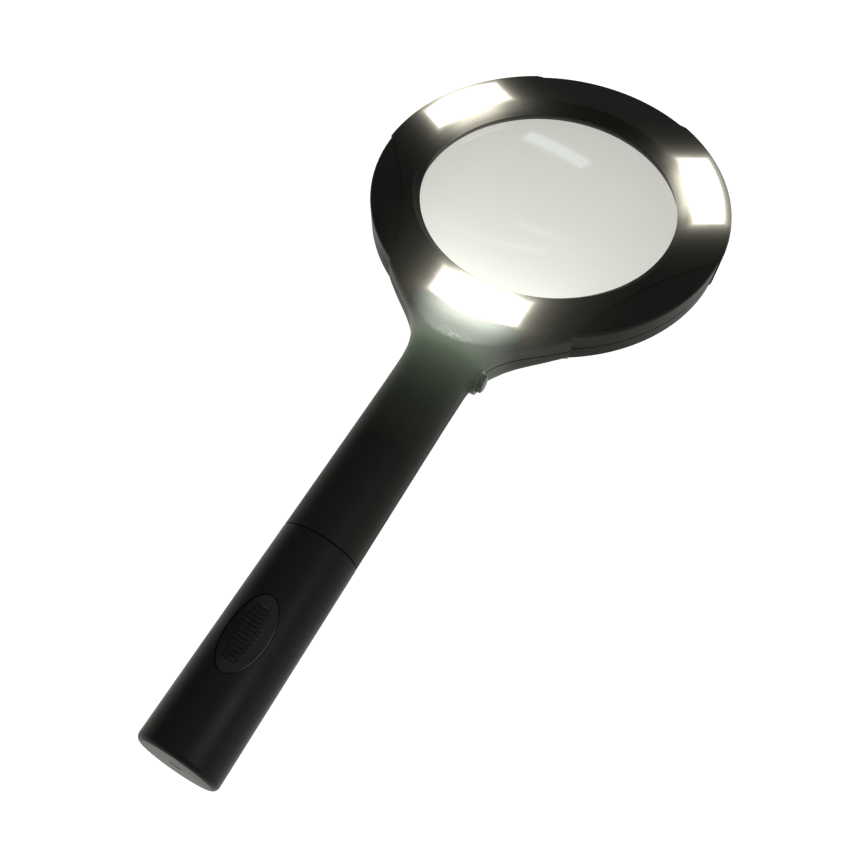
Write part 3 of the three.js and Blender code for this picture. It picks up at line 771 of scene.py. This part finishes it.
def thumb_grip():
    """The oval patch: slightly hollow, with a rounded edge and tapered cross ribs."""
    rows, columns = 260, 49
    skin, base, lip = 11.5, 11.15, 0.3  # radii of its face and back, and its edge's rounding
    hollow, rib_height, rib_reach = 0.22, 0.38, 0.55
    ys = np.linspace(-1, 1, rows) * GRIP_HALF[1] * 0.9995
    widths = GRIP_HALF[0] * np.sqrt(1 - (ys / GRIP_HALF[1]) ** 2)
    share = np.sin(np.linspace(-1, 1, columns) * math.pi / 2)
    x = widths[:, None] * share[None, :]
    y = np.repeat(ys[:, None], columns, 1)
    inside = 1 - np.sqrt((x / GRIP_HALF[0]) ** 2 + (y / GRIP_HALF[1]) ** 2)
    edge = np.clip(inside * GRIP_HALF[0] / lip, 0, 1)
    radius = skin - lip * (1 - np.sqrt(1 - (1 - edge) ** 2))
    radius -= hollow * np.clip(inside * 3, 0, 1) ** 0.8
    phase = (y / GRIP_PITCH + 0.5) % 1 - 0.5
    ridge = 0.5 + 0.5 * np.cos(2 * math.pi * phase)
    ribbed = np.abs(y) < GRIP_RIBS * GRIP_PITCH / 2
    reach = np.maximum(rib_reach * widths[:, None], 0.3)
    taper = np.clip(1 - (x / reach) ** 2, 0, 1)
    radius += rib_height * ridge * taper * ribbed
    top = np.stack([x, y + GRIP_Y, np.sqrt(radius**2 - x**2)], -1).reshape(-1, 3)
    bottom = np.stack([x, y + GRIP_Y, np.sqrt(base**2 - x**2)], -1).reshape(-1, 3)
    count = rows * columns
    at = lambda i, j: i * columns + j
    faces = []
    for i in range(rows - 1):
        for j in range(columns - 1):
            faces.append((at(i, j), at(i, j + 1), at(i + 1, j + 1), at(i + 1, j)))
            faces.append(tuple(count + k for k in reversed(faces[-1])))
    rim = [at(0, j) for j in range(columns)] + [at(i, columns - 1) for i in range(1, rows)]
    rim += [at(rows - 1, j) for j in range(columns - 2, -1, -1)]
    rim += [at(i, 0) for i in range(rows - 2, 0, -1)]
    for a, b in zip(rim, rim[1:] + rim[:1]):
        faces.append((a, a + count, b + count, b))
    obj = object_from("grip_pad", np.concatenate([top, bottom]), faces)
    return shade(obj, 50.0, weighted=False)


grip = thumb_grip()

# Screws: a pan head with a cross recess, and a threaded shank
screws = []
for number, (x, y, seat) in enumerate(SCREWS, 1):
    top = seat - 0.15
    ridges = range(int((SCREW_TIP - top) / THREAD_PITCH))
    thread = [(THREAD_R if k % 2 else SHANK_R, top + 0.2 + THREAD_PITCH * k) for k in ridges]
    head = [(0, top - 1.3), (1.2, top - 1.25), (1.9, top - 0.95), (HEAD_R, top - 0.45)]
    head += [(HEAD_R, top), (SHANK_R, top)]
    screw = lathe("screw", head + thread + [(0, SCREW_TIP + 0.2)], steps=48)
    for a, b in ((1.25, 0.25), (0.25, 1.25)):
        carve(screw, slab_box("arm", (-a, a), (-b, b), (top - 2, top - 0.6)))
    screw.name = f"screw_{number}"
    screws.append(moved(turned(shade(screw), 25 * number), x, y))


def coil(start_r, end_r, start, rise, turns=4, steps=24):
    """Points up a coil, as (distance along its axis, two measures across it)."""
    points = []
    for k in range(turns * steps + 1):
        share, angle = k / (turns * steps), 2 * math.pi * k / steps
        radius = start_r + (end_r - start_r) * share
        points.append((start + rise * share, radius * math.cos(angle), radius * math.sin(angle)))
    return points


# Springs: the button's works along X, and the battery's narrows along Y
press_coil = coil(2.1, 2.1, SPRING_FOOT + SPRING_WIRE, 3.5)
spring = sweep("press_spring", [(x, BUTTON_Y + y, z) for x, y, z in press_coil], SPRING_WIRE)
cell_spring = sweep("cell_spring", [(x, y, z) for y, x, z in coil(5.6, 3.4, -206.7, 4.5)], 0.4)
shade(spring)
shade(cell_spring)

# Battery tube, its strip, and the two cells
tube_end = TUBE_FRONT - 1.6  # the inside of its closed end
tube_loop = [(0, TUBE_FRONT), (TUBE_R, TUBE_FRONT, 0.3), (TUBE_R, TUBE_REAR, 0.3)]
tube_loop += [(TUBE_BORE, TUBE_REAR, 0.3), (TUBE_BORE, tube_end), (0, tube_end)]
tube = lathe("cell_tube", rounded(tube_loop), "Y", 128)
carve(tube, slab_box("groove", (-2.5, 2.5), (-200, -99.6), (-12, -8.6)))
carve(tube, lathe("hole", [(0, -90), (1.3, -90), (1.3, -102), (0, -102)], "Y", 48))
shade(tube)
strip = bevelled_box("return_contact", (-2.0, 2.0), (-198, -99.9), (-9.4, -8.9), 0.12)
cells, cell_ends = [], []
for name, tip in CELL_TIPS.items():
    end = tip - CELL_LENGTH
    wrap = [(0, tip - 1.0), (6.6, tip - 1.0, 0.3), (CELL_R, tip - 1.3, 0.3)]
    wrap += [(CELL_R, end + 0.2, 0.3), (6.4, end, 0.2), (0, end)]
    cell = lathe(name, rounded(wrap), "Y", 96)
    nub_loop = [(0, tip - 0.95), (NUB_R, tip - 0.95), (NUB_R, tip, 0.35), (0, tip)]
    nub = lathe(name + "_nub", rounded(nub_loop), "Y", 64)
    cells.append(shade(cell))
    cell_ends.append(shade(nub))

# -------------------------------------------------------------------- materials


def new_material(name):
    material = bpy.data.materials.new(name)
    material.use_nodes = True
    tree = material.node_tree
    return material, tree, tree.nodes["Principled BSDF"]


def noise(tree, scale, detail=3):
    """A noise texture in the object's own space, in metres."""
    coords = tree.nodes.new("ShaderNodeTexCoord")
    texture = tree.nodes.new("ShaderNodeTexNoise")
    texture.inputs["Scale"].default_value = scale
    texture.inputs["Detail"].default_value = detail
    tree.links.new(coords.outputs["Object"], texture.inputs["Vector"])
    return texture.outputs["Fac"]


def map_range(tree, value, low, high, start=0.3, stop=0.7):
    """Turns start..stop in value into low..high."""
    node = tree.nodes.new("ShaderNodeMapRange")
    node.inputs["From Min"].default_value = start
    node.inputs["From Max"].default_value = stop
    node.inputs["To Min"].default_value = low
    node.inputs["To Max"].default_value = high
    tree.links.new(value, node.inputs["Value"])
    return node.outputs["Result"]


def mix_colour(tree, factor, a, b, blend="MIX"):
    node = tree.nodes.new("ShaderNodeMix")
    node.data_type = "RGBA"
    node.blend_type = blend
    for socket, value in (("Factor", factor), ("A", a), ("B", b)):
        if isinstance(value, bpy.types.NodeSocket):
            tree.links.new(value, node.inputs[socket])
        elif socket == "Factor":
            node.inputs[socket].default_value = value
        else:
            node.inputs[socket].default_value = (*value, 1)
    return node.outputs["Result"]


BUMP_HEIGHT = 0.0001  # metres
BROAD_SCALE = 45  # of the slow changes in roughness, against the grain's own scale


def finish(name, colour, roughness, grain, depth, specular=0.5, metallic=0.0, vary=0.15, ior=1.5):
    """Colour, roughness and a fine surface grain that all vary a little."""
    material, tree, shader = new_material(name)
    fine, broad = noise(tree, grain), noise(tree, BROAD_SCALE, 4)
    bump = tree.nodes.new("ShaderNodeBump")
    bump.inputs["Strength"].default_value = depth
    bump.inputs["Distance"].default_value = BUMP_HEIGHT
    tree.links.new(fine, bump.inputs["Height"])
    tree.links.new(bump.outputs["Normal"], shader.inputs["Normal"])
    rough = map_range(tree, broad, roughness - 0.05, roughness + 0.05)
    tree.links.new(rough, shader.inputs["Roughness"])
    dark, light = [c * (1 - vary) for c in colour], [c * (1 + vary) for c in colour]
    tint = mix_colour(tree, map_range(tree, fine, 0, 1), dark, light)
    tree.links.new(tint, shader.inputs["Base Color"])
    shader.inputs["Specular IOR Level"].default_value = specular
    shader.inputs["Metallic"].default_value = metallic
    shader.inputs["IOR"].default_value = ior
    return material, tree, shader


def emit_painted_glow(material, tree, shader):
    """Adds the lamps' painted glow as emission, speckled by the grain of the plastic, with painted
    sparkles where the glow's alpha is high.
    """
    glow = tree.nodes.new("ShaderNodeVertexColor")
    glow.layer_name = "glow"
    speckle = map_range(tree, noise(tree, 1900, 2), 0.92, 1.08)
    # painted sparkles of lamp light
    painted_sparkle = map_range(tree, noise(tree, 2600, 1), 0.9, 3.0, 0.5, 0.7)
    blend = tree.nodes.new("ShaderNodeMix")
    tree.links.new(glow.outputs["Alpha"], blend.inputs["Factor"])
    tree.links.new(speckle, blend.inputs["A"])
    tree.links.new(painted_sparkle, blend.inputs["B"])
    scaled = tree.nodes.new("ShaderNodeVectorMath")
    scaled.operation = "SCALE"
    tree.links.new(glow.outputs["Color"], scaled.inputs[0])
    tree.links.new(blend.outputs["Result"], scaled.inputs["Scale"])
    tree.links.new(scaled.outputs["Vector"], shader.inputs["Emission Color"])
    shader.inputs["Emission Strength"].default_value = 1.0
    return material


BLACK = emit_painted_glow(*finish("black_plastic", (0.009, 0.0095, 0.0076), 0.44, 3800, 0.3, ior=1.15))
SLEEVE_BLACK = finish(
    "sleeve_plastic", (0.0085, 0.0087, 0.0078), 0.38, 3200, 0.25, specular=1.0, ior=1.1
)[0]
BUTTON_BLACK = emit_painted_glow(
    *finish("button_plastic", (0.011, 0.0113, 0.0095), 0.32, 5200, 0.2, ior=1.3)
)
RUBBER = finish("grip_rubber", (0.0045, 0.0047, 0.0044), 0.22, 6000, 0.05, ior=1.3)[0]
INNER_BLACK = finish("inner_plastic", (0.012, 0.012, 0.012), 0.5, 2600, 0.4)[0]
BOARD = finish("lamp_board", (0.72, 0.72, 0.69), 0.45, 2400, 0.2)[0]
PHOSPHOR = finish("lamp_phosphor", (0.85, 0.62, 0.1), 0.55, 3000, 0.3)[0]
GREEN = finish("green_board", (0.012, 0.1, 0.04), 0.4, 1800, 0.25, vary=0.25)[0]
STEEL = finish("steel", (0.52, 0.53, 0.54), 0.3, 2200, 0.3, metallic=1.0, vary=0.08)[0]
BRASS = finish("brass", (0.62, 0.42, 0.14), 0.32, 2200, 0.3, metallic=1.0, vary=0.12)[0]
CELL = finish("cell_wrap", (0.28, 0.31, 0.33), 0.3, 900, 0.15, metallic=0.7, vary=0.06)[0]
RED = finish("red_wire", (0.4, 0.03, 0.02), 0.45, 2500, 0.3)[0]
WIRE_BLACK = finish("black_wire", (0.02, 0.02, 0.02), 0.45, 2500, 0.3)[0]

# The lens's grey tint is painted shade: it darkens the evenly bright floor seen through it
LENS, tree, shader = finish("lens_clear", (0.56, 0.56, 0.545), 0.05, 300, 0.002, vary=0.01)
shader.inputs["Transmission Weight"].default_value = 1.0
shader.inputs["IOR"].default_value = LENS_INDEX
roughness = shader.inputs["Roughness"].links[0].from_node
roughness.inputs["To Min"].default_value = 0.05
roughness.inputs["To Max"].default_value = 0.08
# The painted haze of the neck lamp, emitted from the lens
lens_glow = tree.nodes.new("ShaderNodeVertexColor")
lens_glow.layer_name = "glow"
tree.links.new(lens_glow.outputs["Color"], shader.inputs["Emission Color"])
shader.inputs["Emission Strength"].default_value = 1.0

WINDOW, tree, shader = finish("lamp_window", (0.9, 0.89, 0.85), 0.35, 1500, 0.1, vary=0.03)
lit = mix_colour(tree, noise(tree, 120, 2), (1.0, 0.97, 0.9), (1.0, 0.99, 0.95))
tree.links.new(lit, shader.inputs["Emission Color"])
shader.inputs["Emission Strength"].default_value = 2.5

placed(front, "body", "shell_black", BLACK, "front_shell")
placed(rear, "body", "shell_black", BLACK, "rear_shell")
placed(lens, "body", "lens_clear", LENS, "lens")
placed(retainer, "body", "shell_black", INNER_BLACK, "lens_retainer")
for side, pane in windows.items():
    placed(pane, "body", "lamp_window", WINDOW, f"led_window_{side}")
placed(collar, "body", "shell_black", BUTTON_BLACK, "button_collar")
placed(button, "button", "button_black", BUTTON_BLACK, "push_button")
placed(spring, "body", "spring_steel", STEEL, "button_spring")
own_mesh(spring)
placed(sleeve, "sleeve", "shell_black", SLEEVE_BLACK, "battery_sleeve")
placed(grip, "sleeve", "grip_rubber", RUBBER, "thumb_grip")
placed(cell_spring, "sleeve", "spring_steel", STEEL, "negative_spring")
placed(tube, "body", "shell_black", INNER_BLACK, "battery_tube")
placed(strip, "body", "contact_brass", BRASS, "return_strip")
for cell, nub, node in zip(cells, cell_ends, ("battery_front", "battery_rear")):
    placed(cell, "body", "cell_metal", CELL, node)
    placed(nub, "body", "cell_metal", STEEL)
for number, screw in enumerate(screws, 1):
    placed(screw, "body", "screw_steel", STEEL, f"shell_screw_{number}")

KEPT = {
    "driver_board": GREEN,
    "switch_body": INNER_BLACK,
    "positive_contact": BRASS,
    "sleeve_contact": BRASS,
    "wire_left_lamp": RED,
    "wire_right_lamp": WIRE_BLACK,
    "wire_neck_lamp": RED,
    "wire_battery_positive": RED,
    "wire_battery_negative": WIRE_BLACK,
}
for side in LAMP_ANGLES:
    KEPT[f"led_board_{side}"] = BOARD
    KEPT[f"led_emitter_{side}"] = PHOSPHOR
for node, material in KEPT.items():
    NODES[node].data.materials.clear()
    NODES[node].data.materials.append(material)

# ------------------------------------------------------------------ floor, light


def area_light(name, place, aim, size, power, colour=(1, 1, 1), along=None):
    data = bpy.data.lights.new(name, "AREA")
    data.shape = "RECTANGLE"
    data.size, data.size_y = size
    data.energy = power
    data.color = colour
    light = bpy.data.objects.new(name, data)
    bpy.context.scene.collection.objects.link(light)
    light.location = place
    back = (Vector(place) - Vector(aim)).normalized()
    side = Vector(along) if along else Vector((0, 0, 1)).cross(back)
    side = (side - back * side.dot(back)).normalized()
    light.rotation_euler = Matrix((side, back.cross(side), back)).transposed().to_euler()


floor_mesh = bpy.data.meshes.new("floor")
FLOOR = 20  # half its side, in metres
floor_corners = [(-FLOOR, -FLOOR, 0), (FLOOR, -FLOOR, 0), (FLOOR, FLOOR, 0), (-FLOOR, FLOOR, 0)]
floor_mesh.from_pydata(floor_corners, [], [(0, 1, 2, 3)])
floor = bpy.data.objects.new("floor", floor_mesh)
bpy.context.scene.collection.objects.link(floor)
paper, tree, shader = new_material("paper_white")
shader.inputs["Base Color"].default_value = (0.3, 0.3, 0.3, 1)
shader.inputs["Emission Color"].default_value = (1, 0.985, 0.95, 1)
shader.inputs["Emission Strength"].default_value = 1.03
floor_mesh.materials.append(paper)

world = bpy.data.worlds.new("studio")
bpy.context.scene.world = world
world.use_nodes = True
world.node_tree.nodes["Background"].inputs["Color"].default_value = (0.96, 1.0, 0.95, 1)
# Pale at the horizon, darker above it, and brighter again overhead
sky = world.node_tree
height = sky.nodes.new("ShaderNodeSeparateXYZ")
sky.links.new(sky.nodes.new("ShaderNodeTexCoord").outputs["Generated"], height.inputs["Vector"])
horizon = map_range(sky, height.outputs["Z"], 0.7, 0.0, 0.05, 0.3)
overhead = map_range(sky, height.outputs["Z"], 0.08, 0.62, 0.5, 0.95)
both = sky.nodes.new("ShaderNodeMath")
sky.links.new(horizon, both.inputs[0])
sky.links.new(overhead, both.inputs[1])
sky.links.new(both.outputs["Value"], sky.nodes["Background"].inputs["Strength"])

area_light("right_box", (0.95, -0.15, 0.8), (0, -0.05, 0), (0.6, 0.6), 6.5)
area_light("back_box", (-0.1, 1.5, 0.26), (0, -0.2, 0), (0.8, 0.3), 1.8)
# A ceiling tube far off, whose reflection shows as a pale streak in the lens
STREAK = ORIGIN + Vector((-0.27, 0.845, 0.5))
area_light(
    "ceiling_tube", STREAK, ORIGIN, (0.23, 0.055), 0.09, (0.72, 1.0, 0.88), (0.897, -0.04, 0.44)
)
bpy.context.scene.view_settings.view_transform = "Standard"
